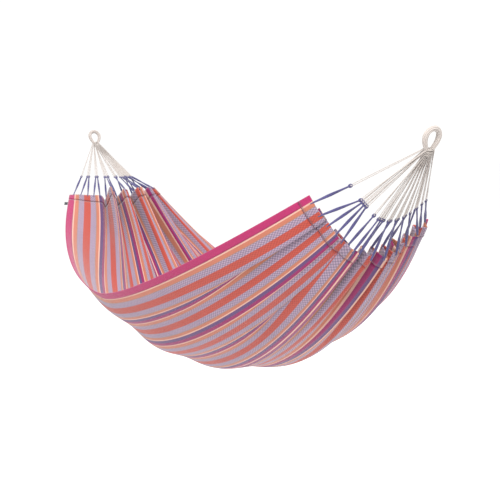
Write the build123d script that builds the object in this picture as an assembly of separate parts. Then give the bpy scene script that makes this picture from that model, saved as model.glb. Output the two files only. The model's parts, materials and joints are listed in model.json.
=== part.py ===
"""Woven striped hammock, hung by a rope eye at each end. Millimetres.

The origin is the seat of the left eye, where a hook bears. X runs to the seat of the right eye,
Y runs across the hammock from its near side to its far side, and Z is up.
"""
import math
import os

from build123d import *

# Overall: the two hook seats, and the cloth hanging between them.
EYE_SPAN = 2610.0
NEAR_EDGE_MIDDLE = (-513.0, 369.0)  # across, and sag below the ends of that edge
FAR_EDGE_MIDDLE = (556.0, 572.0)
BED_MIDDLE = (200.0, 650.0)
EDGE_SAG_POWER = 1.62
BED_SAG_POWER = 1.71
BOWL_POWER = 2.18

# Where the three marks of each end hem hang from that end's eye: along, across, down.
HEM_MARKS = {
    "left": {
        "near": (212.0, -224.0, 312.0),
        "middle": (341.0, 57.0, 309.0),
        "far": (267.0, 204.0, 312.0),
    },
    "right": {
        "near": (349.0, -191.0, 198.0),
        "middle": (268.0, -2.0, 385.0),
        "far": (270.0, 238.0, 289.0),
    },
}

# Cloth.
CLOTH_WIDTH = 1500.0
CLOTH_THICKNESS = 2.0
BAND_WIDTH = 36.0
BAND_THICKNESS = 3.0
HEM_DEPTH = 40.0
HEM_THICKNESS = 6.0
SEAM_GAP = 4.0
SEAM_THREAD_RADIUS = 1.0
SEAM_STITCHES = 60
STITCH_INSET = 0.12  # share of each stitch's pitch left open at each end
BAND_GAP = 5.0

# Rope eyes.
EYE_ROPE_RADIUS = 9.0
EYE_INNER_WIDTH = 34.0
NECK_BELOW_SEAT = (20.0, 0.0, 58.0)  # along, across, down
NECK_RADIUS = 15.0
NECK_LEG_RADIUS = 7.0

# Suspension cords and tape loops.
LOOPS_SHARING_A_TIP = {
    "left": (1, 2, 2, 3, 2, 2, 2, 2, 2, 1, 1),
    "right": (1, 4, 1, 3, 2, 2, 2, 1, 2, 1, 1),
}
CORD_RADIUS = 1.4
CORD_CLEARANCE = 0.5
CORD_GAP_ACROSS = 0.5
CORD_GAP_DEEP = 0.8
TAPE_LENGTH = 135.0
TAPE_WIDTH = 9.0
TAPE_THICKNESS = 2.0
TAPE_EYE_WALL = 3.2
TAPE_HOLE_CLEARANCE = 2.4
TAPE_IN_HEM = 12.0
FIT_GAP = 0.4
TURN_SHARE = 0.95  # how much of a cord's turn through a tape's eye is rounded

# Label tag on the near edge.
LABEL_ALONG = -0.93
LABEL_LENGTH = 28.0
LABEL_REACH = 16.0
LABEL_THICKNESS = 1.2
LABEL_GAP = 0.8

# Fineness of the cloth surfaces.
POINTS_ALONG = 25
POINTS_ACROSS = 17
SURFACE_TOLERANCE = 0.2

ACROSS = Vector(0, 1, 0)
CENTRE_X = EYE_SPAN / 2
BAND_SHARE = 2 * BAND_WIDTH / CLOTH_WIDTH
END_SIGNS = {"left": -1, "right": 1}
CORD_PITCH_ACROSS = 2 * CORD_RADIUS + CORD_GAP_ACROSS
CORD_PITCH_DEEP = 2 * CORD_RADIUS + CORD_GAP_DEEP
TAPE_HOLE_RADIUS = CORD_RADIUS + TAPE_HOLE_CLEARANCE
TAPE_EYE_RADIUS = TAPE_HOLE_RADIUS + TAPE_EYE_WALL
HAIRPIN_RADIUS = TAPE_THICKNESS / 2 + FIT_GAP + CORD_RADIUS
TIP_PITCH = 2 * (HAIRPIN_RADIUS + CORD_RADIUS) + CORD_CLEARANCE
LOOP_COUNTS = {end: sum(groups) for end, groups in LOOPS_SHARING_A_TIP.items()}


def seat(end):
    """Where the hook bears in an end's eye."""
    return Vector(CENTRE_X + END_SIGNS[end] * CENTRE_X, 0, 0)


def hung_from(end, offset):
    """Point at an offset of (along, across, down) from an end's seat."""
    along, across, down = offset
    return seat(end) + Vector(-END_SIGNS[end] * along, across, -down)


def mix(start, finish, share):
    return start + (finish - start) * share


def hem_mark(name, along):
    """A hem mark, mixed between the two ends by how far along the bed it is."""
    left = hung_from("left", HEM_MARKS["left"][name])
    right = hung_from("right", HEM_MARKS["right"][name])
    return mix(left, right, (1 + along) / 2)


def half_length(end, across):
    """Distance from the middle of the hammock to an end of the cloth."""
    marks = HEM_MARKS[end]
    corner = mix(marks["near"][0], marks["far"][0], (1 + across) / 2)
    reach = mix(marks["middle"][0], corner, abs(across) ** BOWL_POWER)
    return CENTRE_X - reach


def bed_point(along, across):
    """Point of the cloth. Both arguments run from -1 to 1, across from the near edge to the far one."""
    end = "right" if along > 0 else "left"
    x = CENTRE_X + along * half_length(end, across)
    near, middle, far = (hem_mark(name, along) for name in ("near", "middle", "far"))
    towards_middle = 1 - along**2
    edge_sag = 1 - abs(along) ** EDGE_SAG_POWER
    bed_sag = 1 - abs(along) ** BED_SAG_POWER

    bottom_y = mix(middle.Y, BED_MIDDLE[0], towards_middle)
    bottom_z = middle.Z - BED_MIDDLE[1] * bed_sag
    side, edge_middle = (near, NEAR_EDGE_MIDDLE) if across < 0 else (far, FAR_EDGE_MIDDLE)
    side_y = mix(side.Y, edge_middle[0], towards_middle)
    near_z = near.Z - NEAR_EDGE_MIDDLE[1] * edge_sag
    far_z = far.Z - FAR_EDGE_MIDDLE[1] * edge_sag
    side_z = mix(near_z, far_z, (1 + across) / 2)

    y = mix(bottom_y, side_y, abs(across))
    z = mix(bottom_z, side_z, abs(across) ** BOWL_POWER)
    return Vector(x, y, z)


def steps(start, finish, count):
    return [mix(start, finish, n / (count - 1)) for n in range(count)]


def bed_offset(along, across, distance):
    """Point at a distance from the bed's middle surface, square to it; positive is above."""
    step = 0.01
    run = bed_point(along + step, across) - bed_point(along - step, across)
    width = bed_point(along, across + step) - bed_point(along, across - step)
    return bed_point(along, across) + run.cross(width).normalized() * distance


def cloth_piece(along, across, thickness, points_along=POINTS_ALONG, points_across=POINTS_ACROSS):
    """A closed sheet that follows the bed between two limits each way."""
    faces = []
    for distance in (-thickness / 2, thickness / 2):
        rows = steps(*along, points_along)
        columns = steps(*across, points_across)
        grid = [[bed_offset(a, c, distance) for c in columns] for a in rows]
        faces.append(Face.make_surface_from_array_of_points(grid, tol=SURFACE_TOLERANCE))
    below, above = faces
    for edge in below.edges():
        partner = min(above.edges(), key=lambda other: (other @ 0.5 - edge @ 0.5).length)
        faces.append(Face.make_surface_from_curves(edge, partner))
    return Solid(Shell(faces))


def rod(start, finish, radius):
    return Solid.make_cylinder(radius, (finish - start).length, Plane(start, z_dir=finish - start))


def seam(along):
    """Straight stitches in a row, in the gap between a hem and the bed."""
    marks = [bed_point(along, c) for c in steps(-1 + BAND_SHARE / 2, 1 - BAND_SHARE / 2, SEAM_STITCHES + 1)]
    spans = zip(marks, marks[1:])
    return [rod(mix(a, b, STITCH_INSET), mix(a, b, 1 - STITCH_INSET), SEAM_THREAD_RADIUS) for a, b in spans]


def eye_rope(end):
    """The bundle bent round the hook: a half ring with two legs that close on the neck."""
    ring_radius = EYE_INNER_WIDTH / 2 + EYE_ROPE_RADIUS
    pull = (neck(end) - seat(end)).normalized()
    ring_centre = seat(end) + pull * (EYE_INNER_WIDTH / 2)
    ring_plane = Plane(ring_centre, x_dir=ACROSS, z_dir=pull.cross(ACROSS))
    half_ring = Solid.make_torus(ring_radius, EYE_ROPE_RADIUS, ring_plane, major_angle=180)
    legs = []
    for side in (-1, 1):
        top = ring_centre + ACROSS * side * ring_radius
        foot = neck(end) + ACROSS * side * NECK_LEG_RADIUS
        leg_plane = Plane(top, z_dir=foot - top)
        leg_length = (foot - top).length
        legs.append(Solid.make_cone(EYE_ROPE_RADIUS, NECK_LEG_RADIUS, leg_length, leg_plane))
        legs.append(Pos(top) * Sphere(EYE_ROPE_RADIUS))
    return half_ring.fuse(*legs) - neck_wrap(end)


def neck_wrap(end):
    """The binding that closes the neck."""
    return Pos(neck(end)) * Sphere(NECK_RADIUS)


def neck(end):
    return hung_from(end, NECK_BELOW_SEAT)


def hem_end(end, across):
    return bed_point(END_SIGNS[end], across)


def tape_loop(root, tip, flat_normal):
    """One woven tape from inside the hem to a small open eye at its tip."""
    run = (tip - root).normalized()
    thin = (flat_normal - run * flat_normal.dot(run)).normalized()
    length = (tip - root).length + TAPE_IN_HEM
    strap_frame = Plane(tip - run * length / 2, x_dir=run, z_dir=thin)
    ring_frame = Plane(tip, z_dir=flat_normal)
    strap = strap_frame * Box(length, TAPE_WIDTH, TAPE_THICKNESS)
    ring = ring_frame * Cylinder(TAPE_EYE_RADIUS, TAPE_THICKNESS)
    hole = ring_frame * Cylinder(TAPE_HOLE_RADIUS, TAPE_EYE_RADIUS)
    return strap + ring - hole


def hairpin(tip, pull, spread, starts):
    """One cord from the neck, through a tape's eye and back to the neck."""
    turn = tip + pull * (TAPE_HOLE_RADIUS - CORD_RADIUS - CORD_CLEARANCE)
    corners = [turn - spread * HAIRPIN_RADIUS, turn + spread * HAIRPIN_RADIUS]
    path = FilletPolyline(starts[0], *corners, starts[1], radius=HAIRPIN_RADIUS * TURN_SHARE)
    profile = Plane(path @ 0, z_dir=path % 0) * Circle(CORD_RADIUS)
    return sweep(profile, path=path)


def neck_start(end, number):
    """Where one leg of a cord leaves the neck: ten columns across, four rows deep."""
    loop, leg = divmod(number, 2)
    column, second = divmod(loop, 2)
    row = (3 - leg) if second else leg
    columns = math.ceil(LOOP_COUNTS[end] / 2)
    aim = (hem_end(end, 0) - neck(end)).normalized()
    sideways = (ACROSS - aim * ACROSS.dot(aim)).normalized()
    deep = aim.cross(sideways)
    offset = sideways * CORD_PITCH_ACROSS * (column - (columns - 1) / 2)
    offset = offset + deep * CORD_PITCH_DEEP * (row - 1.5)
    return neck(end) + aim * (NECK_RADIUS + FIT_GAP + 1) + offset


def harness(end):
    """The tape loops and cords of one end, as one node of each for every shared tip."""
    pieces = {}
    first = 0
    for group, size in enumerate(LOOPS_SHARING_A_TIP[end], 1):
        shares = [loop_across(end, first + n) for n in range(size)]
        roots = [hem_end(end, share) for share in shares]
        centre = sum(roots, Vector()) / size
        pull = (neck(end) - centre).normalized()
        hem_run = hem_end(end, shares[-1] + 0.02) - hem_end(end, shares[0] - 0.02)
        spread = (hem_run - pull * hem_run.dot(pull)).normalized()
        middle_tip = centre + pull * TAPE_LENGTH
        tips = [middle_tip + spread * TIP_PITCH * (n - (size - 1) / 2) for n in range(size)]
        loops = [tape_loop(root, tip, spread) for root, tip in zip(roots, tips)]
        cords = []
        for n, tip in enumerate(tips):
            number = 2 * (first + n)
            starts = [neck_start(end, number), neck_start(end, number + 1)]
            cords.append(hairpin(tip, pull, spread, starts))
        pieces[f"{end}_tape_loops_{group:02d}"] = loops
        pieces[f"{end}_cords_{group:02d}"] = cords
        first += size
    return pieces


def loop_across(end, number):
    """Place of a loop across the hem, from the near corner to the far one."""
    return (2 * number + 1) / LOOP_COUNTS[end] - 1


def label_tag():
    """A small blank tab that stands out from the near edge."""
    start = bed_point(LABEL_ALONG, -1)
    run = (bed_point(LABEL_ALONG + 0.01, -1) - start).normalized()
    inward = bed_point(LABEL_ALONG, -0.98) - start
    outward = (run * inward.dot(run) - inward).normalized()
    plane = Plane(start + outward * (LABEL_GAP + LABEL_REACH / 2), x_dir=run, z_dir=run.cross(outward))
    return plane * Box(LABEL_LENGTH, LABEL_REACH, LABEL_THICKNESS)


def bed():
    half_bed = CENTRE_X - HEM_MARKS["right"]["middle"][0]
    hem = 1 - HEM_DEPTH / half_bed
    seam_half = SEAM_GAP / 2 / half_bed
    inner = hem - 2 * seam_half
    band = 1 - BAND_SHARE
    gap = 2 * BAND_GAP / CLOTH_WIDTH
    pieces = {
        "bed_cloth": [cloth_piece((-inner, inner), (-band, band), CLOTH_THICKNESS)],
        "near_edge_band": [cloth_piece((-inner, inner), (-1, -band - gap), BAND_THICKNESS, points_across=3)],
        "far_edge_band": [cloth_piece((-inner, inner), (band + gap, 1), BAND_THICKNESS, points_across=3)],
        "label_tag": [label_tag()],
    }
    for end, sign in END_SIGNS.items():
        strip = sorted((sign * hem, sign * 1.0))
        pieces[f"{end}_end_hem"] = [cloth_piece(strip, (-1, 1), HEM_THICKNESS, points_along=4)]
        pieces[f"{end}_hem_seam"] = seam(sign * (hem - seam_half))
    return pieces


def save(name, solids):
    bodies = []
    for solid in solids:
        bodies.extend(solid.solids())
    shape = bodies[0] if len(bodies) == 1 else Compound(children=bodies)
    export_step(shape, f"parts/{name}.step")


def main():
    os.makedirs("parts", exist_ok=True)
    pieces = bed()
    for end in END_SIGNS:
        pieces[f"{end}_eye_rope"] = [eye_rope(end)]
        pieces[f"{end}_neck_wrap"] = [neck_wrap(end)]
        pieces.update(harness(end))
    for name, solids in pieces.items():
        save(name, solids)


main()
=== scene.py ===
"""Looks of a striped woven hammock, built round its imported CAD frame. Metres throughout."""
import json
import math

import bpy
import numpy as np
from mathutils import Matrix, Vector


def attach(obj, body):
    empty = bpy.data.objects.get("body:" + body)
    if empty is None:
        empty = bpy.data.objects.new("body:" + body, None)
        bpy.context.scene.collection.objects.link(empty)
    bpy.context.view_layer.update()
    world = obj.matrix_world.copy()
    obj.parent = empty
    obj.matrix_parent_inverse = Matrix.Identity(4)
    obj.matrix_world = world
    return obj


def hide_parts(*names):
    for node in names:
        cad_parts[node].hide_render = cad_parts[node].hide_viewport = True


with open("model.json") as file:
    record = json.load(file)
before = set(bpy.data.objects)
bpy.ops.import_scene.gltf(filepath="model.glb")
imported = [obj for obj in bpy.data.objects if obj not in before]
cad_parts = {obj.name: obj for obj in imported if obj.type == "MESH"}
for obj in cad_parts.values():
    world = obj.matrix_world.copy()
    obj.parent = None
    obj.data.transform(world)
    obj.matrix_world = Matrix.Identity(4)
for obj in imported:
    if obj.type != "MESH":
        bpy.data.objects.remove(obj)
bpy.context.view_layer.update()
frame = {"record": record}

# ---------------------------------------------------------------- camera

CAMERA_PLACE = (4.56, -1.822, -0.012)
CAMERA_YAW = 58.43
CAMERA_PITCH = -7.29
CAMERA_LENS = 64.5
SENSOR_WIDTH = 36.0
FARTHEST_SEEN = 60.0


def make_camera():
    """The camera at the photograph's place and angle."""
    data = bpy.data.cameras.new("camera")
    data.lens = CAMERA_LENS
    data.sensor_width = SENSOR_WIDTH
    data.clip_end = FARTHEST_SEEN
    camera = bpy.data.objects.new("camera", data)
    camera.location = CAMERA_PLACE
    camera.rotation_euler = (math.radians(90 + CAMERA_PITCH), 0.0, math.radians(CAMERA_YAW))
    bpy.context.scene.collection.objects.link(camera)
    bpy.context.scene.camera = camera


# ---------------------------------------------------------------- sizes of the hammock

MOUNTS = {m["name"]: np.array(m["pos_m"]) for m in frame["record"]["mounts"]}
SEATS = {"left": MOUNTS["left_eye"], "right": MOUNTS["right_eye"]}
CENTRE_X = (SEATS["left"][0] + SEATS["right"][0]) / 2
END_SIGNS = {"left": -1, "right": 1}

# Places of each end's hem marks from its seat: along, across, down.
HEM_MARKS = {
    "left": {
        "near": (0.212, -0.224, 0.312),
        "middle": (0.341, 0.057, 0.309),
        "far": (0.267, 0.204, 0.312),
    },
    "right": {
        "near": (0.349, -0.191, 0.198),
        "middle": (0.268, -0.002, 0.385),
        "far": (0.270, 0.238, 0.289),
    },
}
# At mid-length: the place across, and the sag below the line between the hem marks.
NEAR_EDGE_MIDDLE = (-0.513, 0.369)
FAR_EDGE_MIDDLE = (0.556, 0.572)
BED_MIDDLE = (0.200, 0.650)
EDGE_SAG_POWER = 1.62
BED_SAG_POWER = 1.71
BOWL_POWER = 2.18

CLOTH_WIDTH = 1.50
CLOTH_LENGTH = 2.43
CLOTH_THICKNESS = 0.0012
BAND_WIDTH = 0.036
BAND_THICKNESS = 0.0022
HEM_DEPTH = 0.040
HEM_THICKNESS = 0.0045
NECK_OFFSET = (0.020, 0.0, 0.058)  # from the seat: along, across, down

LOOPS_SHARING_A_TIP = {
    "left": (1, 2, 2, 3, 2, 2, 2, 2, 2, 1, 1),
    "right": (1, 4, 1, 3, 2, 2, 2, 1, 2, 1, 1),
}
LOOP_COUNTS = {end: sum(groups) for end, groups in LOOPS_SHARING_A_TIP.items()}
UP = np.array((0.0, 0.0, 1.0))
ACROSS = np.array((0.0, 1.0, 0.0))

# ---------------------------------------------------------------- shape of the bed


def hung_from(end, offset):
    """The point at an offset from one end's seat: along towards the middle, across and down."""
    along, across, down = offset
    return SEATS[end] + np.array((-END_SIGNS[end] * along, across, -down))


def hem_mark(name, along):
    """A hem mark, mixed between the two ends by how far along the bed it is."""
    left = hung_from("left", HEM_MARKS["left"][name])
    right = hung_from("right", HEM_MARKS["right"][name])
    share = (1 + along)[..., None] / 2
    return left + (right - left) * share


def mix(start, finish, share):
    return start + (finish - start) * share


def smooth_step(value, start, finish):
    share = np.clip((value - start) / (finish - start), 0.0, 1.0)
    return share * share * (3 - 2 * share)


def unit(vectors):
    return vectors / np.maximum(np.linalg.norm(vectors, axis=-1, keepdims=True), 1e-12)


def length_run(line):
    """The length of a line of points up to each of them."""
    steps = np.linalg.norm(np.diff(line, axis=0), axis=1)
    return np.concatenate(([0.0], np.cumsum(steps)))


def half_length(end, across):
    """How far the bed reaches from its middle to one hem, at places across it."""
    marks = HEM_MARKS[end]
    corner = mix(marks["near"][0], marks["far"][0], (1 + across) / 2)
    return CENTRE_X - mix(marks["middle"][0], corner, np.abs(across) ** BOWL_POWER)


def bed_points(along, across):
    """Points of the smooth bed; both arguments are arrays that run from -1 to 1."""
    along, across = np.broadcast_arrays(np.asarray(along, float), np.asarray(across, float))
    reach = np.where(along > 0, half_length("right", across), half_length("left", across))
    x = CENTRE_X + along * reach
    near, middle, far = (hem_mark(name, along) for name in ("near", "middle", "far"))
    towards_middle = 1 - along**2
    edge_sag = 1 - np.abs(along) ** EDGE_SAG_POWER
    bed_sag = 1 - np.abs(along) ** BED_SAG_POWER
    bottom_y = mix(middle[..., 1], BED_MIDDLE[0], towards_middle)
    bottom_z = middle[..., 2] - BED_MIDDLE[1] * bed_sag
    near_y = mix(near[..., 1], NEAR_EDGE_MIDDLE[0], towards_middle)
    far_y = mix(far[..., 1], FAR_EDGE_MIDDLE[0], towards_middle)
    near_z = near[..., 2] - NEAR_EDGE_MIDDLE[1] * edge_sag
    far_z = far[..., 2] - FAR_EDGE_MIDDLE[1] * edge_sag
    side_y = np.where(across < 0, near_y, far_y)
    side_z = mix(near_z, far_z, (1 + across) / 2)
    y = mix(bottom_y, side_y, np.abs(across))
    z = mix(bottom_z, side_z, np.abs(across) ** BOWL_POWER)
    return np.stack((x, y, z), axis=-1)


def hem_end(end, across):
    return bed_points(END_SIGNS[end], across)


# ---------------------------------------------------------------- the gathered cloth

ROWS_IN_HEM = 4
ROWS_IN_BED = 180
THREADS_IN_BAND = 4
THREADS_IN_BED = 240
ROW_SAMPLES = 241
SURFACE_STEP = 0.01  # of the bed's positions, for its slopes

# Where threads at these distances across the cloth meet each end's hem line, as shares of it.
HEM_GATHERS = {
    "left": ((0.0, 0.205, 1.5), (0.0, 0.36, 1.0)),
    "right": (
        (0.0, 0.152, 0.264, 0.396, 0.442, 0.515, 0.686, 0.745, 1.5),
        (0.0, 0.176, 0.183, 0.300, 0.307, 0.378, 0.385, 0.430, 1.0),
    ),
}
GATHER_POWER = {"left": 1.7, "right": 2.4}
GATHER_SOFTNESS = 4  # threads averaged on each side

HEM_FOLD = {"left": 0.262, "right": 0.115}  # cloth taken by one fold
FOLD_STEEPNESS = {"left": 0.185, "right": 0.200}
FOLD_SIDE = {"left": 1, "right": -1}  # which face the narrow creases open to
FIRST_FOLD = {"left": 0.236, "right": 0.800}  # the first crease, across the cloth
FOLD_RUN_IN = 0.07  # cloth over which the folds begin before the first crease
FOLD_FADE_POWER = 2.2  # how fast they flatten towards the middle of the bed
CREASE_SHARPNESS = 1.5
CREASE_DRIFT = 0.40
DRIFT_RATE = 5.1
# Changes of the folds' depth from one to the next: share, rate across the cloth and phase.
UNEVENNESS = ((0.22, 7.3, 0.8), (0.15, 17.1, 2.1))
RIPPLE = 0.18  # small folds on the folds, three to each
RIPPLE_PHASE = 1.0
BROAD_WAVE = 0.31
BROAD_DEPTH = 0.012
BROAD_PHASE = 2.2
BROAD_SLANT = 0.8
FLAT_EDGE = 0.06  # cloth beside each edge over which the folds begin

# Cloth tucked under itself at each hem, between two distances across it.
PLEATS = {"left": (), "right": ((0.152, 0.264), (0.396, 0.442), (0.515, 0.686))}
PLEAT_SPAN = (0.4, 1.1)  # where a pleat starts and would be whole; the hem is at 1
PLEAT_LEAN = 0.985  # share of a tuck that runs along the bed, where 1 would not lift off it


def row_distances():
    """Distances of the grid's rows along the cloth."""
    hem = np.linspace(0, HEM_DEPTH, ROWS_IN_HEM + 1)
    middle = np.linspace(HEM_DEPTH, CLOTH_LENGTH - HEM_DEPTH, ROWS_IN_BED + 1)
    return np.concatenate((hem[:-1], middle, CLOTH_LENGTH - hem[-2::-1]))


def thread_distances():
    """Distances of the grid's threads across the cloth."""
    band = np.linspace(0, BAND_WIDTH, THREADS_IN_BAND + 1)
    bed = np.linspace(BAND_WIDTH, CLOTH_WIDTH - BAND_WIDTH, THREADS_IN_BED + 1)
    return np.concatenate((band[:-1], bed, CLOTH_WIDTH - band[-2::-1]))


def row_run(along):
    """Bed positions from -1 to 1 across one row, and the length across up to each."""
    samples = np.linspace(-1, 1, ROW_SAMPLES)
    return samples, length_run(bed_points(np.full_like(samples, along), samples))


def softened(values, reach):
    """The values averaged over a few neighbours, with both ends kept."""
    weights = np.hanning(2 * reach + 3)[1:-1]
    before = 2 * values[0] - values[reach:0:-1]
    after = 2 * values[-1] - values[-2:-reach - 2:-1]
    padded = np.concatenate((before, values, after))
    return np.convolve(padded, weights / weights.sum(), mode="valid")


def hem_shares(end, threads):
    """Where threads meet one hem line, as shares of its length."""
    distances, shares = HEM_GATHERS[end]
    return softened(np.interp(threads, distances, shares), GATHER_SOFTNESS)


def hem_folds(end, along, threads):
    """Folds that start at one hem, for cloth that is all spare."""
    wave = HEM_FOLD[end]
    after = threads - FIRST_FOLD[end]
    begun = smooth_step(after, -FOLD_RUN_IN, 0.0)
    uneven = sum((share * np.sin(rate * threads + phase) for share, rate, phase in UNEVENNESS), 1)
    crease = 0.5 + 0.5 * np.cos(2 * np.pi * after / wave + CREASE_DRIFT * np.sin(DRIFT_RATE * after))
    folds = (1 - 2 * crease**CREASE_SHARPNESS) * FOLD_SIDE[end]
    folds = folds + RIPPLE * np.sin(6 * np.pi * after / wave + RIPPLE_PHASE)
    depth = FOLD_STEEPNESS[end] * wave * begun * uneven * abs(along) ** FOLD_FADE_POWER
    return depth * folds


def broad_waves(along, threads):
    """Slow waves across the whole bed, deepest at mid-length, for cloth that is all spare."""
    wave = np.sin(2 * np.pi * threads / BROAD_WAVE + BROAD_PHASE + BROAD_SLANT * along)
    return BROAD_DEPTH * (1 - 0.5 * abs(along) ** 2) * wave


def fold_height(end, along, threads, places):
    """Height of one row's folds: as deep as the cloth to spare at each place asks for."""
    taken = np.gradient(places) / np.gradient(threads)
    spare = np.sqrt(np.clip(1 - softened(taken, GATHER_SOFTNESS) ** 2, 0.0, 1.0))
    edge = smooth_step(np.minimum(threads, CLOTH_WIDTH - threads), 0.0, FLAT_EDGE)
    return spare * (hem_folds(end, along, threads) + broad_waves(along, threads)) * edge


def pleat_shift(reach, threads, places, pleat):
    """How far a tucked pleat reaches under the cloth beside it, thread by thread."""
    start, finish = pleat
    chord = np.interp(finish, threads, places) - np.interp(start, threads, places)
    whole = 0.5 * math.sqrt(max((finish - start) ** 2 - chord**2, 0.0))
    peak = 1 - np.abs(2 * (threads - start) / (finish - start) - 1)
    return softened(whole * smooth_step(reach, *PLEAT_SPAN) * np.clip(peak, 0.0, 1.0), 1)


def row_normals(along, across):
    """Directions square to the smooth bed at places across one row."""
    sideways = bed_points(along, across + SURFACE_STEP) - bed_points(along, across - SURFACE_STEP)
    ahead = bed_points(min(along + SURFACE_STEP, 1), across)
    return unit(np.cross(ahead - bed_points(along - SURFACE_STEP, across), sideways))


def cloth_row(distance, threads):
    """One row of the cloth across the bed, gathered, pleated and folded."""
    along = 2 * distance / CLOTH_LENGTH - 1
    end = "left" if along < 0 else "right"
    gathered = mix(threads / CLOTH_WIDTH, hem_shares(end, threads), abs(along) ** GATHER_POWER[end])
    samples, run = row_run(along)
    places = gathered * run[-1]
    tuck = sum(pleat_shift(abs(along), threads, places, pleat) for pleat in PLEATS[end])
    across = np.interp((gathered - PLEAT_LEAN * tuck / run[-1]) * run[-1], run, samples)
    heights = fold_height(end, along, threads, places) + tuck * math.sqrt(1 - PLEAT_LEAN**2)
    return bed_points(along, across) + row_normals(along, across) * heights[:, None]


def gathered_cloth():
    """Grid of points of the whole cloth, hems included, with its folds."""
    threads = thread_distances()
    return np.array([cloth_row(distance, threads) for distance in row_distances()])


def surface_normals(points):
    return unit(np.cross(np.gradient(points, axis=0), np.gradient(points, axis=1)))


# ---------------------------------------------------------------- mesh helpers


def mesh_object(name, vertices, faces, uvs=None):
    """A smooth mesh piece; its weave map holds metres along and across cloth.

    On a cord it holds metres along it, and how far round it is from 0 to 1.
    """
    mesh = bpy.data.meshes.new(name)
    mesh.from_pydata(np.asarray(vertices).tolist(), [], [tuple(face) for face in faces])
    if uvs is not None:
        corners = np.empty(len(mesh.loops), np.int32)
        mesh.loops.foreach_get("vertex_index", corners)
        layer = mesh.uv_layers.new(name="weave")
        layer.data.foreach_set("uv", np.asarray(uvs, np.float32)[corners].ravel())
    mesh.polygons.foreach_set("use_smooth", [True] * len(mesh.polygons))
    piece = bpy.data.objects.new(name, mesh)
    bpy.context.scene.collection.objects.link(piece)
    return piece


def grid_faces(rows, columns, start=0):
    """Four-sided faces of a grid of vertices, counted row by row."""
    index = start + np.arange(rows * columns).reshape(rows, columns)
    a, b, c, d = index[:-1, :-1], index[1:, :-1], index[1:, 1:], index[:-1, 1:]
    return np.stack((a, b, c, d), axis=-1).reshape(-1, 4)


def carried_frames(centre, closed):
    """Two directions square to a line at each of its points, carried along without twist."""
    if closed:
        tangents = unit(np.roll(centre, -1, axis=0) - np.roll(centre, 1, axis=0))
    else:
        tangents = unit(np.gradient(centre, axis=0))
    side = np.cross(tangents[0], UP if abs(tangents[0][2]) < 0.9 else ACROSS)
    sideways = []
    for tangent in tangents:
        side = unit(side - tangent * side.dot(tangent))
        sideways.append(side)
    sideways = np.array(sideways)
    return sideways, np.cross(tangents, sideways)


def tube(name, centre, radius, sides, closed=False):
    """A round tube along a line of points."""
    centre = np.asarray(centre, float)
    radii = np.broadcast_to(np.asarray(radius, float), (len(centre),))
    sideways, other = carried_frames(centre, closed)
    angles = np.linspace(0, 2 * np.pi, sides, endpoint=False)[:, None]
    rings = sideways[:, None] * np.cos(angles) + other[:, None] * np.sin(angles)
    vertices = centre[:, None] + rings * radii[:, None, None]
    around = np.abs(np.arange(sides) / sides * 2 - 1)
    uvs = np.stack(np.broadcast_arrays(length_run(centre)[:, None], around[None, :]), axis=-1)
    return ring_tube(name, vertices, uvs, closed)


def ring_tube(name, vertices, uvs, closed=False):
    """A tube from rings of points, capped at both ends unless it joins itself."""
    count, sides = vertices.shape[:2]
    index = np.arange(count * sides).reshape(count, sides)
    first = index if closed else index[:-1]
    second = np.roll(index, -1, axis=0) if closed else index[1:]
    walls = np.stack((first, np.roll(first, -1, 1), np.roll(second, -1, 1), second), -1).reshape(-1, 4)
    caps = [] if closed else [index[0, ::-1].tolist(), index[-1].tolist()]
    return mesh_object(name, vertices.reshape(-1, 3), walls.tolist() + caps, uvs.reshape(-1, 2))


def join(name, pieces):
    """One object out of several, keeping their materials."""
    bpy.ops.object.select_all(action="DESELECT")
    for piece in pieces:
        piece.select_set(True)
    bpy.context.view_layer.objects.active = pieces[0]
    if len(pieces) > 1:
        bpy.ops.object.join()
    pieces[0].name = name
    pieces[0].data.name = name
    return pieces[0]


def declare(piece, node, body):
    """Puts a piece in the place of its CAD node and on its body."""
    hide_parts(node)
    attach(piece, body)


# ---------------------------------------------------------------- materials

NOISE_DETAIL = 3.0
CLOTH_SPECULAR = 0.2
SHEEN_ROUGHNESS = 0.5


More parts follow.
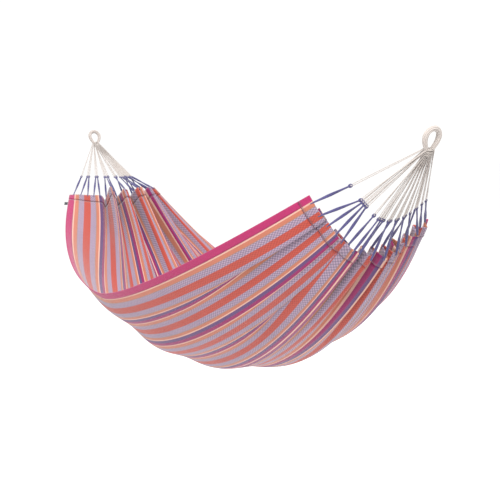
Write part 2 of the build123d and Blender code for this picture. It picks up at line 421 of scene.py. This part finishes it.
class Nodes:
    """Short way to write a node material."""

    def __init__(self, name):
        self.material = bpy.data.materials.new(name)
        self.material.use_nodes = True
        self.tree = self.material.node_tree
        self.shader = self.tree.nodes["Principled BSDF"]

    def node(self, kind, inputs=None, **settings):
        made = self.tree.nodes.new(kind)
        for key, value in settings.items():
            setattr(made, key, value)
        for key, value in (inputs or {}).items():
            self.feed(made.inputs[key], value)
        return made

    def feed(self, socket, value):
        if isinstance(value, bpy.types.NodeSocket):
            self.tree.links.new(value, socket)
        else:
            socket.default_value = value

    def math(self, operation, a, b=0.0, c=0.0):
        made = self.node("ShaderNodeMath", operation=operation)
        for socket, value in zip(made.inputs, (a, b, c)):
            self.feed(socket, value)
        return made.outputs[0]

    def mixed(self, factor, a, b, blend="MIX"):
        made = self.node("ShaderNodeMix", data_type="RGBA", blend_type=blend)
        self.feed(made.inputs["Factor"], factor)
        self.feed(made.inputs["A"], a)
        self.feed(made.inputs["B"], b)
        return made.outputs["Result"]

    def weave_map(self):
        """The two values of the weave map: along, and across cloth or around a cord."""
        uv = self.node("ShaderNodeUVMap", uv_map="weave")
        split = self.node("ShaderNodeSeparateXYZ", {"Vector": uv.outputs["UV"]})
        return split.outputs["X"], split.outputs["Y"]

    def noise(self, scale):
        place = self.node("ShaderNodeTexCoord").outputs["Object"]
        inputs = {"Vector": place, "Scale": scale, "Detail": NOISE_DETAIL}
        return self.node("ShaderNodeTexNoise", inputs).outputs["Fac"]

    def wave(self, value, period, phase=0.0):
        """A sine of a length, from 0 to 1, with that period in metres."""
        turned = self.math("MULTIPLY_ADD", value, 2 * math.pi / period, phase)
        return self.math("MULTIPLY_ADD", self.math("SINE", turned), 0.5, 0.5)

    def bump(self, height, distance, strength):
        inputs = {"Height": height, "Distance": distance, "Strength": strength}
        made = self.node("ShaderNodeBump", inputs)
        self.feed(self.shader.inputs["Normal"], made.outputs["Normal"])

    def cloth_shader(self, colour, roughness=0.85, sheen=0.25):
        self.feed(self.shader.inputs["Base Color"], colour)
        self.shader.inputs["Roughness"].default_value = roughness
        self.shader.inputs["Specular IOR Level"].default_value = CLOTH_SPECULAR
        self.shader.inputs["Sheen Weight"].default_value = sheen
        self.shader.inputs["Sheen Roughness"].default_value = SHEEN_ROUGHNESS
        return self.material


DYE_DEPTH = 0.54  # dyed cotton is darker than it looks under the studio light


def linear(seen):
    """Scene colour of cotton that looks like the screen colour written as RRGGBB."""
    parts = [int(seen[i:i + 2], 16) / 255 for i in (0, 2, 4)]
    # the standard curve from screen values to amounts of light
    light = [p / 12.92 if p <= 0.04045 else ((p + 0.055) / 1.055) ** 2.4 for p in parts]
    return tuple(DYE_DEPTH * p for p in light) + (1.0,)


MAGENTA = linear("C8286F")
CREAM = linear("FBC6B2")
ORANGE = linear("DC8468")
LILAC = linear("CDB0C6")
RED = linear("E05A48")
DUST = linear("B98F7C")
PURPLE = linear("6E4A82")
PLUM = linear("AA206C")
INDIGO = linear("2A2552")
WORN_INDIGO = linear("5E5896")
PALE_INDIGO = linear("807CB0")
CHARCOAL = linear("2B2C33")
PALE_CHARCOAL = linear("54565F")
FLOOR_TONES = ((0.95, 0.95, 0.95, 1.0), (0.98, 0.98, 0.98, 1.0))

# One repeat of the stripes, from the edge towards the middle: colour and share of the repeat.
STRIPES = (
    (CREAM, 0.035), (ORANGE, 0.095), (DUST, 0.015), (LILAC, 0.165), (RED, 0.205), (LILAC, 0.155),
    (DUST, 0.02), (ORANGE, 0.075), (CREAM, 0.035), (PURPLE, 0.095), (PLUM, 0.105),
)
REPEATS_PER_HALF = 4
CENTRE_STRIPE = 0.010
REPEAT = (CLOTH_WIDTH / 2 - BAND_WIDTH - CENTRE_STRIPE / 2) / REPEATS_PER_HALF

PATTERN_STRENGTHS = {LILAC: 1.0, RED: 0.62}
WEAKEST_PATTERN = 0.12
DOT_PITCH = 0.0132
DOT_EDGE = (0.26, 0.46)
DOT_STRENGTH = 0.75
DOT_SHADE = (0.34, 0.37, 0.46, 1.0)
WARP_PITCH = 0.0016
WEFT_PITCH = 0.0022
# painted highlight: how much lighter the threads are painted where they cross than between them
THREAD_HIGHLIGHT = 0.25
GROUND_SHADE = 0.80
PATCH_SCALE = 9.0
PATCH_CONTRAST = 0.16
PATCH_LEVEL = 0.06
SPECKLE_SCALE = 420.0
TAPE_WEAVE_PITCH = 0.0030
TAPE_WEAR_SCALE = 60.0
LABEL_RIB_PITCH = 0.0011
LABEL_THREAD_PITCH = 0.0016
FLOOR_PATCH_SCALE = 0.6


def stepped_ramp(n, place, steps):
    """Plain steps of colour, each with its share of the way from 0 to 1."""
    made = n.node("ShaderNodeValToRGB", {"Fac": place})
    ramp = made.color_ramp
    ramp.interpolation = "CONSTANT"
    start = 0.0
    for number, (colour, share) in enumerate(steps):
        is_there = number < 2  # a new ramp has two stops
        stop = ramp.elements[number] if is_there else ramp.elements.new(start)
        stop.position = start
        stop.color = colour
        start += share
    return made.outputs["Color"]


def stripe_colours(n, across):
    """Stripe colour and how much it is patterned, from the distance across the cloth."""
    from_middle = n.math("ABSOLUTE", n.math("SUBTRACT", across, CLOTH_WIDTH / 2))
    from_edge = n.math("SUBTRACT", CLOTH_WIDTH / 2, from_middle)
    repeats = n.math("DIVIDE", n.math("SUBTRACT", from_edge, BAND_WIDTH), REPEAT)
    place = n.math("FRACT", repeats)
    stripes = stepped_ramp(n, place, STRIPES)
    strengths = [(PATTERN_STRENGTHS.get(colour, WEAKEST_PATTERN), share) for colour, share in STRIPES]
    greys = [((strength, strength, strength, 1.0), share) for strength, share in strengths]
    pattern = stepped_ramp(n, place, greys)
    in_band = n.math("LESS_THAN", from_edge, BAND_WIDTH)
    in_centre = n.math("LESS_THAN", from_middle, CENTRE_STRIPE / 2)
    colour = n.mixed(in_centre, stripes, CREAM)
    colour = n.mixed(in_band, colour, MAGENTA)
    plain = n.math("SUBTRACT", 1.0, n.math("MAXIMUM", in_band, in_centre))
    return colour, n.math("MULTIPLY", pattern, plain)


def dot_rows(n, along, across, phase):
    return n.math("MULTIPLY", n.wave(along, DOT_PITCH, phase), n.wave(across, DOT_PITCH, phase))


def dot_pattern(n, along, across):
    """Small dots in staggered rows, as in a bird's-eye weave, from 0 to 1."""
    dots = n.math("MAXIMUM", dot_rows(n, along, across, 0.0), dot_rows(n, along, across, math.pi))
    inputs = {"Value": dots, "From Min": DOT_EDGE[0], "From Max": DOT_EDGE[1]}
    return n.node("ShaderNodeMapRange", inputs).outputs[0]


def striped_weave(name, darker=0.0):
    """The striped cloth, with its dots, painted highlights on its threads, painted shade between them and
    slow random changes of tone.
    """
    n = Nodes(name)
    along, across = n.weave_map()
    colour, patterned = stripe_colours(n, across)
    dots = n.math("MULTIPLY", dot_pattern(n, along, across), patterned)
    dotted = n.math("MULTIPLY", dots, DOT_STRENGTH)
    colour = n.mixed(dotted, colour, DOT_SHADE, "MULTIPLY")
    # painted highlight where warp and weft cross and painted shade between them; the same waves also make
    # the bump below
    weave = n.math("MULTIPLY", n.wave(across, WARP_PITCH), n.wave(along, WEFT_PITCH))
    shade = n.math("MULTIPLY_ADD", weave, THREAD_HIGHLIGHT, GROUND_SHADE - darker)
    shade = n.math("SUBTRACT", shade, PATCH_LEVEL)
    shade = n.math("MULTIPLY_ADD", n.noise(PATCH_SCALE), PATCH_CONTRAST, shade)
    grey = n.node("ShaderNodeCombineColor", {"Red": shade, "Green": shade, "Blue": shade})
    colour = n.mixed(1.0, colour, grey.outputs["Color"], "MULTIPLY")
    n.bump(n.math("MULTIPLY_ADD", dotted, 0.6, weave), distance=0.0007, strength=0.6)
    return n.cloth_shader(colour)


def thread_material(name, colour, shadow, pitch):
    """Twisted thread or cord: slanting strands along its tube."""
    n = Nodes(name)
    along, around = n.weave_map()
    turned = n.math("MULTIPLY", along, 2 * math.pi / pitch)
    turned = n.math("MULTIPLY_ADD", around, 2 * math.pi, turned)
    strand = n.math("ABSOLUTE", n.math("SINE", turned))
    speckle = n.noise(SPECKLE_SCALE)
    depth = n.math("MULTIPLY_ADD", speckle, 0.35, n.math("MULTIPLY", strand, 0.75))
    n.bump(n.math("MULTIPLY_ADD", speckle, 0.3, strand), distance=0.0006, strength=0.7)
    return n.cloth_shader(n.mixed(depth, shadow, colour), roughness=0.9, sheen=0.35)


def tape_material():
    """Indigo tape in a slanting weave, paler where it is worn."""
    n = Nodes("indigo_tape_weave")
    along, across = n.weave_map()
    diagonal = n.wave(n.math("ADD", along, across), TAPE_WEAVE_PITCH)
    counter = n.wave(n.math("SUBTRACT", along, across), TAPE_WEAVE_PITCH)
    weave = n.math("MULTIPLY", diagonal, counter)
    colour = n.mixed(n.noise(TAPE_WEAR_SCALE), INDIGO, WORN_INDIGO)
    colour = n.mixed(n.math("MULTIPLY", weave, 0.5), colour, PALE_INDIGO)
    n.bump(weave, distance=0.0005, strength=0.8)
    return n.cloth_shader(colour, roughness=0.8, sheen=0.3)


def label_material():
    """Charcoal label tape with fine ribs."""
    n = Nodes("charcoal_label_tape")
    along, across = n.weave_map()
    ribs = n.wave(across, LABEL_RIB_PITCH)
    threads = n.math("MULTIPLY", ribs, n.wave(along, LABEL_THREAD_PITCH))
    colour = n.mixed(threads, CHARCOAL, PALE_CHARCOAL)
    n.bump(ribs, distance=0.0004, strength=0.7)
    return n.cloth_shader(colour, roughness=0.8, sheen=0.15)


def floor_material():
    n = Nodes("pale_floor")
    return n.cloth_shader(n.mixed(n.noise(FLOOR_PATCH_SCALE), *FLOOR_TONES), roughness=0.9, sheen=0.0)


# ---------------------------------------------------------------- the bed's pieces

SETTLING_FRAMES = 14
MOST_SETTLING = 0.012
HOLD_IN_BED = 0.25  # pull towards the modelled shape; in the hems it is 1
SETTLING = {
    "quality": 5,
    "mass": 0.05,
    "tension_stiffness": 25,
    "compression_stiffness": 25,
    "shear_stiffness": 4,
    "bending_stiffness": 0.15,
    "air_damping": 2.0,
    "vertex_group_mass": "held",
    "pin_stiffness": 0.6,
}


def hold(sheet, rows, threads):
    """Holds the hems firmly and the rest of the cloth loosely."""
    weights = np.full((rows, threads), HOLD_IN_BED)
    weights[:ROWS_IN_HEM + 2] = 1.0
    weights[-ROWS_IN_HEM - 2:] = 1.0
    held = sheet.vertex_groups.new(name=SETTLING["vertex_group_mass"])
    for level in np.unique(weights):
        held.add(np.flatnonzero(weights.ravel() == level).tolist(), float(level), "REPLACE")


def simulated(sheet):
    """Runs the cloth simulation of a sheet and returns where its vertices went."""
    cloth = sheet.modifiers.new("Cloth", "CLOTH")
    for setting, value in SETTLING.items():
        setattr(cloth.settings, setting, value)
    cloth.collision_settings.use_collision = False
    cloth.point_cache.frame_start = 1
    cloth.point_cache.frame_end = SETTLING_FRAMES
    scene = bpy.context.scene
    for step in range(1, SETTLING_FRAMES + 1):
        scene.frame_set(step)
    settled = sheet.evaluated_get(bpy.context.evaluated_depsgraph_get())
    moved = np.empty(len(sheet.data.vertices) * 3, np.float32)
    settled.data.vertices.foreach_get("co", moved)
    scene.frame_set(1)
    return moved.astype(float)


def settle(points):
    """Lets the whole cloth sag and crease by cloth simulation, and returns its grid again."""
    rows, threads = points.shape[:2]
    sheet = mesh_object("settling_cloth", points.reshape(-1, 3), grid_faces(rows, threads).tolist())
    hold(sheet, rows, threads)
    shift = simulated(sheet).reshape(points.shape) - points
    bpy.data.objects.remove(sheet)
    length = np.linalg.norm(shift, axis=-1, keepdims=True)
    return points + shift * np.minimum(1.0, MOST_SETTLING / np.maximum(length, 1e-9))


def sheet_piece(name, points, uvs, thickness, material, normals):
    """A closed sheet: the grid moved to both sides of itself, with its rim closed."""
    rows, columns = points.shape[:2]
    above = points + normals * thickness / 2
    below = points - normals * thickness / 2
    vertices = np.concatenate((above.reshape(-1, 3), below.reshape(-1, 3)))
    count = rows * columns
    top = grid_faces(rows, columns)
    bottom = grid_faces(rows, columns, count)[:, ::-1]
    index = np.arange(count).reshape(rows, columns)
    rim = np.concatenate((index[0, :], index[1:, -1], index[-1, -2::-1], index[-2:0:-1, 0]))
    following = np.roll(rim, -1)
    wall = np.stack((rim, following, following + count, rim + count), axis=-1)
    faces = np.concatenate((top, bottom, wall))
    piece = mesh_object(name, vertices, faces.tolist(), np.concatenate((uvs, uvs)).reshape(-1, 2))
    piece.data.materials.append(material)
    return piece


def make_bed(weave, hem_weave, band_weave):
    """The bed, its two edge bands and its two hems, cut from one grid so that they meet."""
    points = gathered_cloth()
    points = settle(points)
    normals = surface_normals(points)
    rows, threads = row_distances(), thread_distances()
    uvs = np.stack(np.meshgrid(rows, threads, indexing="ij"), axis=-1)

    def cut(name, node, row_span, thread_span, thickness, material):
        part = tuple(slice(first, last + 1) for first, last in (row_span, thread_span))
        piece = sheet_piece(name, points[part], uvs[part], thickness, material, normals[part])
        declare(piece, node, "hanging_bed")
        return piece

    last_row, last_thread = len(rows) - 1, len(threads) - 1
    length = (ROWS_IN_HEM, last_row - ROWS_IN_HEM)
    inner = (THREADS_IN_BAND, last_thread - THREADS_IN_BAND)
    sides = {"near": (0, inner[0]), "far": (inner[1], last_thread)}
    ends = {"left": (0, length[0]), "right": (length[1], last_row)}
    whole = (0, last_thread)
    bed = cut("woven_bed", "bed_cloth", length, inner, CLOTH_THICKNESS, weave)
    near, far = (
        cut(f"{side}_band", f"{side}_edge_band", length, span, BAND_THICKNESS, band_weave)
        for side, span in sides.items()
    )
    left, right = (
        cut(f"{end}_hem", f"{end}_end_hem", span, whole, HEM_THICKNESS, hem_weave)
        for end, span in ends.items()
    )
    return points, normals


# ---------------------------------------------------------------- tapes and cords

CORD_RADIUS = 0.0014
CORD_SIDES = 7
CORD_PITCH_ACROSS = 0.0033
CORD_PITCH_DEEP = 0.0036
NECK_ROWS = 4
NECK_DROP = 0.008  # below the neck's middle, where the middle cords start
NECK_TAPER = 1.1  # how much nearer the eye the outer ones start, for each metre sideways
HAIRPIN_RADIUS = 0.0028
HAIRPIN_REACH = 0.0045  # from a tape's tip to the middle of the cord's bend
BEND_POINTS = 7
LEG_POINTS = 14
HEM_STEP = 0.02

TAPE_LENGTH = 0.135
TAPE_WIDTH = 0.009
TAPE_THICKNESS = 0.002
TAPE_IN_HEM = 0.012
TAPE_TWIST = math.radians(120)
TAPE_STATIONS = 17
TAPE_SIDES = 10
TAPE_END_WIDTH = 0.72  # of the tape's width
TAPE_SWELL = 0.38  # of its width, added at mid-length
TAPE_ROUNDNESS = 0.6
TAPE_PUFF = 1.25  # of its thickness, to each side
TIP_PITCH = 0.0089
EYELET_HALF_LENGTH = 0.0068
EYELET_HALF_WIDTH = 0.0046
EYELET_RADIUS = 0.0019
EYELET_POINTS = 18
EYELET_SIDES = 8


def neck(end):
    return hung_from(end, NECK_OFFSET)


def loop_across(end, number):
    """Place of one tape loop across its hem, from -1 to 1."""
    return (2 * number + 1) / LOOP_COUNTS[end] - 1


def hem_roots(end, points):
    """Points of the folded hem line where its tapes come out, in order."""
    line = points[0] if end == "left" else points[-1]
    threads = thread_distances()
    samples, run = row_run(END_SIGNS[end])
    across = np.interp(hem_shares(end, threads) * run[-1], run, samples)
    wanted = [loop_across(end, number) for number in range(LOOP_COUNTS[end])]
    places = np.interp(wanted, across, np.arange(len(threads)))
    return [line[int(round(place))] for place in places]


def neck_start(end, number):
    """Where one leg of a cord leaves the neck: columns across, four rows deep."""
    loop, leg = divmod(number, 2)
    column, second = divmod(loop, 2)
    row = (NECK_ROWS - 1 - leg) if second else leg
    columns = math.ceil(LOOP_COUNTS[end] / 2)
    aim = unit(hem_end(end, 0.0) - neck(end))
    sideways = unit(ACROSS - aim * ACROSS.dot(aim))
    deep = np.cross(aim, sideways)
    beside = CORD_PITCH_ACROSS * (column - (columns - 1) / 2)
    offset = sideways * beside + deep * CORD_PITCH_DEEP * (row - (NECK_ROWS - 1) / 2)
    return neck(end) + aim * (NECK_DROP - NECK_TAPER * abs(beside)) + offset


def strap(name, start, run, along_hem, length):
    """A woven tape: on edge at both ends, flat between, and fullest at mid-length."""
    outward = np.cross(run, along_hem)
    shares = np.linspace(0, 1, TAPE_STATIONS)
    turn = TAPE_TWIST * (smooth_step(shares, 0.1, 0.9) - 0.5)
    wide = along_hem * np.cos(turn)[:, None] + outward * np.sin(turn)[:, None]
    thin = np.cross(run, wide)
    widths = TAPE_WIDTH * (TAPE_END_WIDTH + TAPE_SWELL * np.sin(np.pi * shares))
    angles = np.linspace(0, 2 * np.pi, TAPE_SIDES, endpoint=False)
    flat = np.abs(np.cos(angles)) ** TAPE_ROUNDNESS * np.sign(np.cos(angles)) * 0.5
    beside = widths[:, None] * flat
    proud = np.sin(angles) * TAPE_THICKNESS * TAPE_PUFF
    centre = start + run * (length * shares)[:, None]
    vertices = centre[:, None] + wide[:, None] * beside[..., None] + thin[:, None] * proud[None, :, None]
    uvs = np.stack(np.broadcast_arrays((length * shares)[:, None], beside), axis=-1)
    return ring_tube(name, vertices, uvs)


def tape(name, root, tip, spread, material):
    """A woven tape from inside the hem to the open eye at its tip."""
    run = unit(tip - root)
    along_hem = unit(spread - run * spread.dot(run))
    start = root - run * TAPE_IN_HEM
    woven = strap(name, start, run, along_hem, np.linalg.norm(tip - start))
    angles = np.linspace(0, 2 * np.pi, EYELET_POINTS, endpoint=False)[:, None]
    ring = tip + run * EYELET_HALF_LENGTH * np.cos(angles) + along_hem * EYELET_HALF_WIDTH * np.sin(angles)
    eye = tube(name + "_eye", ring, EYELET_RADIUS, EYELET_SIDES, closed=True)
    for piece in (woven, eye):
        piece.data.materials.append(material)
    return [woven, eye]


def hairpin(tip, pull, spread, starts):
    """Centre line of one cord: from the neck, through a tape's eye and back."""
    turn = tip + pull * HAIRPIN_REACH
    angles = np.linspace(0, np.pi, BEND_POINTS)[:, None]
    bend = turn - spread * HAIRPIN_RADIUS * np.cos(angles) - pull * HAIRPIN_RADIUS * np.sin(angles)
    shares = np.linspace(0, 1, LEG_POINTS)[:-1, None]
    down = mix(starts[0], bend[0], shares)
    up = mix(bend[-1], starts[1], 1 - shares)[::-1]
    return np.concatenate((down, bend, up))


def make_harness(end, roots, tape_look, cord_look):
    """Tapes and cords of one end, grouped as they share tips."""
    first = 0
    for group, size in enumerate(LOOPS_SHARING_A_TIP[end], 1):
        shares = [loop_across(end, first + k) for k in range(size)]
        centre = sum(hem_end(end, share) for share in shares) / size
        pull = unit(neck(end) - centre)
        hem_run = hem_end(end, shares[-1] + HEM_STEP) - hem_end(end, shares[0] - HEM_STEP)
        spread = unit(hem_run - pull * hem_run.dot(pull))
        tapes, cords = [], []
        for k in range(size):
            tip = centre + pull * TAPE_LENGTH + spread * TIP_PITCH * (k - (size - 1) / 2)
            tapes += tape(f"{end}_tape_{group}_{k}", roots[first + k], tip, spread, tape_look)
            starts = [neck_start(end, 2 * (first + k) + leg) for leg in (0, 1)]
            line = hairpin(tip, pull, spread, starts)
            cord = tube(f"{end}_cord_{group}_{k}", line, CORD_RADIUS, CORD_SIDES)
            cord.data.materials.append(cord_look)
            cords.append(cord)
        tape_group = join(f"{end}_tapes_{group:02d}", tapes)
        declare(tape_group, f"{end}_tape_loops_{group:02d}", "hanging_bed")
        fan = join(f"{end}_fan_{group:02d}", cords)
        declare(fan, f"{end}_cords_{group:02d}", "hanging_bed")
        first += size


# ---------------------------------------------------------------- eyes

EYE_ROPE_RADIUS = 0.009
EYE_INNER_WIDTH = 0.034
EYE_RING_POINTS = 17
EYE_LEG_POINTS = 12
EYE_FOOT = 0.004  # below the neck's middle
LEG_OFFSET = 0.0055  # of each leg at the neck, from the middle between them
LEG_CURVE = 1.2
LEG_THINNESS = 0.72  # of the strands at the neck
STRAND_RADIUS = 0.0026
STRAND_SIDES = 9
# Strands in a ring of the bundle, their distance from its middle, and their twist per metre.
INNER_RING = (3, 0.0026, -7.0)
OUTER_RING = (9, 0.0066, 11.0)

BINDING_TURNS = 7
POINTS_PER_TURN = 20
BINDING_HALF_HEIGHT = 0.011
BINDING_RADIUS = 0.0128
BINDING_BULGE = 0.020  # half height at which the bulging winding would close
BINDING_FLATNESS = 0.85
BINDING_CORD_RADIUS = 0.0016
BINDING_CORD_SIDES = 8
BINDING_WANDER = 0.0022
WANDER_RATE = 0.37


def eye_line(end):
    """Middle line of the bundle: from the neck round the hook and back, with its thickness."""
    pull = unit(neck(end) - SEATS[end])
    ring_radius = EYE_INNER_WIDTH / 2 + EYE_ROPE_RADIUS
    centre = SEATS[end] + pull * EYE_INNER_WIDTH / 2
    foot = neck(end) + pull * EYE_FOOT
    angles = np.linspace(0, np.pi, EYE_RING_POINTS)[:, None]
    ring = centre - pull * ring_radius * np.sin(angles) - ACROSS * ring_radius * np.cos(angles)
    shares = np.linspace(0, 1, EYE_LEG_POINTS)[:-1]
    out = mix(LEG_OFFSET, ring_radius, np.sin(shares * np.pi / 2) ** LEG_CURVE)
    down = mix(foot, centre, shares[:, None])
    left_leg = down - ACROSS * out[:, None]
    right_leg = (down + ACROSS * out[:, None])[::-1]
    thick = mix(LEG_THINNESS, 1.0, shares)
    thickness = np.concatenate((thick, np.ones(EYE_RING_POINTS), thick[::-1]))
    return np.concatenate((left_leg, ring, right_leg)), thickness


def make_eye(end, look):
    """The bundle of cotton strands bent round the hook."""
    pull = unit(neck(end) - SEATS[end])
    centre, thick = eye_line(end)
    tangents = np.gradient(centre, axis=0)
    sideways = unit(np.cross(tangents, np.cross(pull, ACROSS)))
    other = np.cross(unit(tangents), sideways)
    run = length_run(centre)
    strands = []
    rings = [INNER_RING] * INNER_RING[0] + [OUTER_RING] * OUTER_RING[0]
    for number, (count, distance, twist) in enumerate(rings):
        angle = 2 * math.pi * number / count + run * twist
        path = centre + sideways * (distance * thick * np.cos(angle))[:, None]
        path = path + other * (distance * thick * np.sin(angle))[:, None]
        strand = tube(f"{end}_eye_strand_{number}", path, STRAND_RADIUS * thick, STRAND_SIDES)
        strand.data.materials.append(look)
        strands.append(strand)
    declare(join(f"{end}_eye_bundle", strands), f"{end}_eye_rope", "eyes")


def make_binding(end, look):
    """The cord wound round the neck of the eye, bulging at its middle."""
    pull = unit(neck(end) - SEATS[end])
    angles = np.linspace(0, 2 * np.pi * BINDING_TURNS, BINDING_TURNS * POINTS_PER_TURN)
    height = np.linspace(-BINDING_HALF_HEIGHT, BINDING_HALF_HEIGHT, len(angles))
    around = BINDING_RADIUS * np.sqrt(1 - (height / BINDING_BULGE) ** 2)
    deep = np.cross(pull, ACROSS)
    coil = neck(end) + pull * height[:, None] + ACROSS * (around * np.cos(angles))[:, None]
    coil = coil + deep * (around * BINDING_FLATNESS * np.sin(angles))[:, None]
    coil = coil + pull * (BINDING_WANDER * np.sin(angles * WANDER_RATE))[:, None]
    binding = tube(f"{end}_neck_binding", coil, BINDING_CORD_RADIUS, BINDING_CORD_SIDES)
    binding.data.materials.append(look)
    declare(binding, f"{end}_neck_wrap", "eyes")


# ---------------------------------------------------------------- seams and label

STITCH_RADIUS = 0.0006
STITCH_SIDES = 5
STITCH_STEP = 0.001
SEAM_PROUD = 0.0002
# Points of one stitch: share of the way to the next thread, and height above the seam.
STITCH_PATH = ((0.08, 0.0), (0.3, 0.0004), (0.7, 0.0004), (0.92, 0.0))

LABEL_ALONG = -0.93
LABEL_LENGTH = 0.028
LABEL_REACH = 0.016
LABEL_GAP = 0.0008
LABEL_THICKNESS = 0.0012
LABEL_CURL = 0.0012
LABEL_POINTS = 9


def many_stitches(name, paths):
    """Short thin tubes of equal point count in one mesh."""
    paths = np.array(paths)
    count, steps = paths.shape[:2]
    tangents = unit(np.gradient(paths, axis=1))
    sideways = unit(np.cross(tangents, UP))
    other = np.cross(tangents, sideways)
    angles = np.linspace(0, 2 * np.pi, STITCH_SIDES, endpoint=False)[:, None]
    rings = sideways[:, :, None] * np.cos(angles) + other[:, :, None] * np.sin(angles)
    vertices = (paths[:, :, None] + rings * STITCH_RADIUS).reshape(-1, 3)
    index = np.arange(len(vertices)).reshape(count, steps, STITCH_SIDES)
    turned = np.roll(index, -1, axis=2)
    corners = (index[:, :-1], turned[:, :-1], turned[:, 1:], index[:, 1:])
    walls = np.stack(corners, axis=-1).reshape(-1, 4)
    caps = np.concatenate((index[:, 0, ::-1], index[:, -1]))
    uvs = np.zeros((count, steps, STITCH_SIDES, 2))
    uvs[..., 0] = np.arange(steps)[:, None] * STITCH_STEP
    return mesh_object(name, vertices, walls.tolist() + caps.tolist(), uvs.reshape(-1, 2))


def make_seams(points, normals, look):
    """A row of stitches across each hem, on both faces of the cloth."""
    last_row = points.shape[0] - 1
    for end, row in (("left", ROWS_IN_HEM), ("right", last_row - ROWS_IN_HEM)):
        stitches = []
        for side in (-1, 1):
            proud = normals[row] * side
            line = points[row] + proud * (HEM_THICKNESS / 2 + SEAM_PROUD)
            for start, following, rise in zip(line[:-1], line[1:], proud):
                reach = following - start
                stitches.append([start + reach * share + rise * height for share, height in STITCH_PATH])
        piece = many_stitches(f"{end}_stitches", stitches)
        piece.data.materials.append(look)
        declare(piece, f"{end}_hem_seam", "hanging_bed")


def make_label(look):
    """A small blank tab, folded double, that stands out from the near edge."""
    start = bed_points(LABEL_ALONG, -1.0)
    run = unit(bed_points(LABEL_ALONG + 0.01, -1.0) - start)
    inward = bed_points(LABEL_ALONG, -0.98) - start
    outward = unit(run * inward.dot(run) - inward)
    flat = np.cross(run, outward)
    lengths = np.linspace(-LABEL_LENGTH / 2, LABEL_LENGTH / 2, LABEL_POINTS)
    reaches = np.linspace(LABEL_GAP, LABEL_GAP + LABEL_REACH, LABEL_POINTS)
    grid = start + run * lengths[:, None, None] + outward * reaches[None, :, None]
    curl = LABEL_CURL * ((reaches - reaches[0]) / LABEL_REACH) ** 2
    grid = grid + flat * curl[None, :, None]
    uvs = np.stack(np.meshgrid(lengths, reaches, indexing="ij"), axis=-1)
    normals = np.broadcast_to(flat, grid.shape)
    tab = sheet_piece("blank_label", grid, uvs, LABEL_THICKNESS, look, normals)
    declare(tab, "label_tag", "label")


# ---------------------------------------------------------------- stage and lights

FLOOR_HEIGHT = -1.75
FLOOR_SIZE = 900.0
WORLD_LIGHT = 1.06
LIGHT_AIM = (CENTRE_X, 0.0, -0.6)
LIGHT_SIZE = 2.4


def make_stage():
    bpy.ops.mesh.primitive_plane_add(size=FLOOR_SIZE, location=(CENTRE_X, 0.0, FLOOR_HEIGHT))
    floor = bpy.context.active_object
    floor.name = "floor"
    floor.data.materials.append(floor_material())


def soft_light(name, place, power):
    data = bpy.data.lights.new(name, "AREA")
    data.size = LIGHT_SIZE
    data.energy = power
    light = bpy.data.objects.new(name, data)
    light.location = place
    direction = Vector(LIGHT_AIM) - Vector(place)
    light.rotation_euler = direction.to_track_quat("-Z", "Y").to_euler()
    bpy.context.scene.collection.objects.link(light)


def make_lights():
    world = bpy.data.worlds.new("studio")
    world.use_nodes = True
    background = world.node_tree.nodes["Background"]
    background.inputs["Color"].default_value = (1.0, 1.0, 1.0, 1.0)
    background.inputs["Strength"].default_value = WORLD_LIGHT
    bpy.context.scene.world = world
    soft_light("key", (4.6, -2.2, 3.4), 430)
    soft_light("top", (0.6, 0.8, 3.6), 130)
    bpy.context.scene.view_settings.view_transform = "Standard"


# ---------------------------------------------------------------- the whole scene


def main():
    make_camera()
    weave = striped_weave("striped_weave")
    hem_weave = striped_weave("hem_weave", darker=0.06)
    band_weave = striped_weave("band_weave", darker=0.02)
    points, normals = make_bed(weave, hem_weave, band_weave)
    tape_look = tape_material()
    cord_look = thread_material("natural_cotton", linear("E9DFD8"), linear("AFA29A"), 0.007)
    binding_look = thread_material("binding_cotton", linear("E2D8D0"), linear("A2968E"), 0.005)
    seam_look = thread_material("seam_thread", linear("A8486A"), linear("742848"), 0.002)
    for end in END_SIGNS:
        make_harness(end, hem_roots(end, points), tape_look, cord_look)
        make_eye(end, cord_look)
        make_binding(end, binding_look)
    make_seams(points, normals, seam_look)
    make_label(label_material())
    make_stage()
    make_lights()


main()
